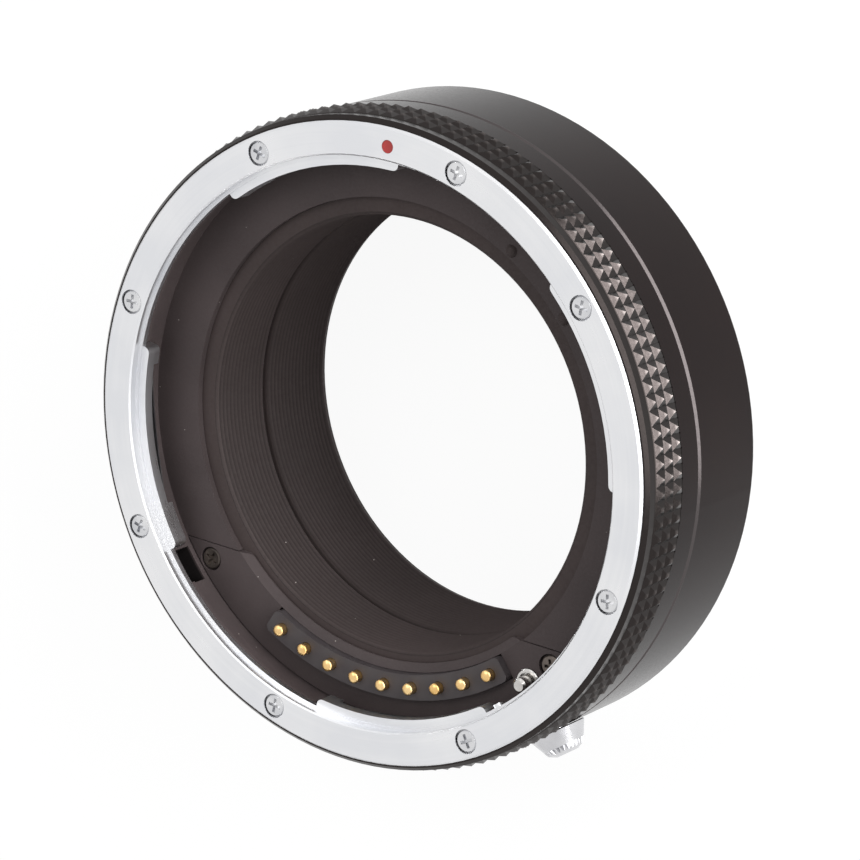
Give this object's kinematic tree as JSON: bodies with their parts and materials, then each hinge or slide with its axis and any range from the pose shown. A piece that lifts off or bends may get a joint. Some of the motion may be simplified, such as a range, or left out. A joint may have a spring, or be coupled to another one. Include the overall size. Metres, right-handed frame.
{
  "type": "macro extension tube",
  "caption": "Macro extension tube with a lugged bayonet throat, a knurled grip, sprung signal contacts and a sliding lens release, standing on its rear end.",
  "frame": {"origin": "on the tube's axis at its lowest plane, the rear end that it stands on", "axes": "+Z along the tube's axis towards the lens mount; +Y through the front index dot"},
  "size_m": [0.0872, 0.0872, 0.0322],
  "materials": {
    "mount_chrome": "satin chrome on brass",
    "screw_steel": "bright plated steel",
    "red_enamel": "red enamel",
    "spring_steel": "plain spring steel",
    "black_anodised": "satin black anodised aluminium",
    "throat_black": "matt black metal",
    "matt_black": "matt black plastic",
    "black_screw": "blackened steel",
    "block_black": "moulded black plastic",
    "gold_plate": "gold plate",
    "board_green": "lacquered circuit board",
    "bright_steel": "polished steel",
    "knob_nickel": "bright nickel",
    "flex_amber": "amber film"
  },
  "bodies": {
    "tube": {"lens_mount_ring": "mount_chrome", "mount_screws": "screw_steel", "index_dot": "red_enamel", "leaf_springs": "spring_steel", "grip_sleeve": "black_anodised", "front_body": "throat_black", "barrel": "black_anodised", "front_baffle": "matt_black", "rear_baffle": "matt_black", "contact_cover": "throat_black", "cover_screws": "black_screw", "floor_rivets": "matt_black", "contact_block": "block_black", "contact_spring_1": "spring_steel", "contact_spring_2": "spring_steel", "contact_spring_3": "spring_steel", "contact_spring_4": "spring_steel", "contact_spring_5": "spring_steel", "contact_spring_6": "spring_steel", "contact_spring_7": "spring_steel", "contact_spring_8": "spring_steel", "contact_spring_9": "spring_steel", "contact_board": "board_green", "lock_pin_bush": "bright_steel", "lock_spring": "spring_steel", "rear_mount": "mount_chrome", "rear_mount_screws": "screw_steel", "rear_index_dot": "red_enamel", "rear_contact_block": "block_black", "rear_contact_pads": "gold_plate", "flex_circuit": "flex_amber", "inner_screws": "screw_steel", "body_screws": "screw_steel"},
    "contact_1": {"contact_pin_1": "gold_plate"},
    "contact_2": {"contact_pin_2": "gold_plate"},
    "contact_3": {"contact_pin_3": "gold_plate"},
    "contact_4": {"contact_pin_4": "gold_plate"},
    "contact_5": {"contact_pin_5": "gold_plate"},
    "contact_6": {"contact_pin_6": "gold_plate"},
    "contact_7": {"contact_pin_7": "gold_plate"},
    "contact_8": {"contact_pin_8": "gold_plate"},
    "contact_9": {"contact_pin_9": "gold_plate"},
    "lens_release": {"lock_pin": "bright_steel", "lock_carriage": "spring_steel", "release_knob": "knob_nickel"}
  },
  "joints": [
    {"name": "contact_1_press", "type": "slide", "parent": "tube", "child": "contact_1", "axis": [0, 0, -1], "range_m": [0, 0.001], "stiffness_N_per_m": 150, "springref_m": -0.0005, "deforming": ["contact_spring_1"]},
    {"name": "contact_2_press", "type": "slide", "parent": "tube", "child": "contact_2", "axis": [0, 0, -1], "range_m": [0, 0.001], "stiffness_N_per_m": 150, "springref_m": -0.0005, "deforming": ["contact_spring_2"]},
    {"name": "contact_3_press", "type": "slide", "parent": "tube", "child": "contact_3", "axis": [0, 0, -1], "range_m": [0, 0.001], "stiffness_N_per_m": 150, "springref_m": -0.0005, "deforming": ["contact_spring_3"]},
    {"name": "contact_4_press", "type": "slide", "parent": "tube", "child": "contact_4", "axis": [0, 0, -1], "range_m": [0, 0.001], "stiffness_N_per_m": 150, "springref_m": -0.0005, "deforming": ["contact_spring_4"]},
    {"name": "contact_5_press", "type": "slide", "parent": "tube", "child": "contact_5", "axis": [0, 0, -1], "range_m": [0, 0.001], "stiffness_N_per_m": 150, "springref_m": -0.0005, "deforming": ["contact_spring_5"]},
    {"name": "contact_6_press", "type": "slide", "parent": "tube", "child": "contact_6", "axis": [0, 0, -1], "range_m": [0, 0.001], "stiffness_N_per_m": 150, "springref_m": -0.0005, "deforming": ["contact_spring_6"]},
    {"name": "contact_7_press", "type": "slide", "parent": "tube", "child": "contact_7", "axis": [0, 0, -1], "range_m": [0, 0.001], "stiffness_N_per_m": 150, "springref_m": -0.0005, "deforming": ["contact_spring_7"]},
    {"name": "contact_8_press", "type": "slide", "parent": "tube", "child": "contact_8", "axis": [0, 0, -1], "range_m": [0, 0.001], "stiffness_N_per_m": 150, "springref_m": -0.0005, "deforming": ["contact_spring_8"]},
    {"name": "contact_9_press", "type": "slide", "parent": "tube", "child": "contact_9", "axis": [0, 0, -1], "range_m": [0, 0.001], "stiffness_N_per_m": 150, "springref_m": -0.0005, "deforming": ["contact_spring_9"]},
    {"name": "lens_release_slide", "type": "slide", "parent": "tube", "child": "lens_release", "axis": [0, 0, -1], "range_m": [0, 0.0023], "stiffness_N_per_m": 600, "springref_m": -0.001, "deforming": ["lock_spring"]}
  ]
}
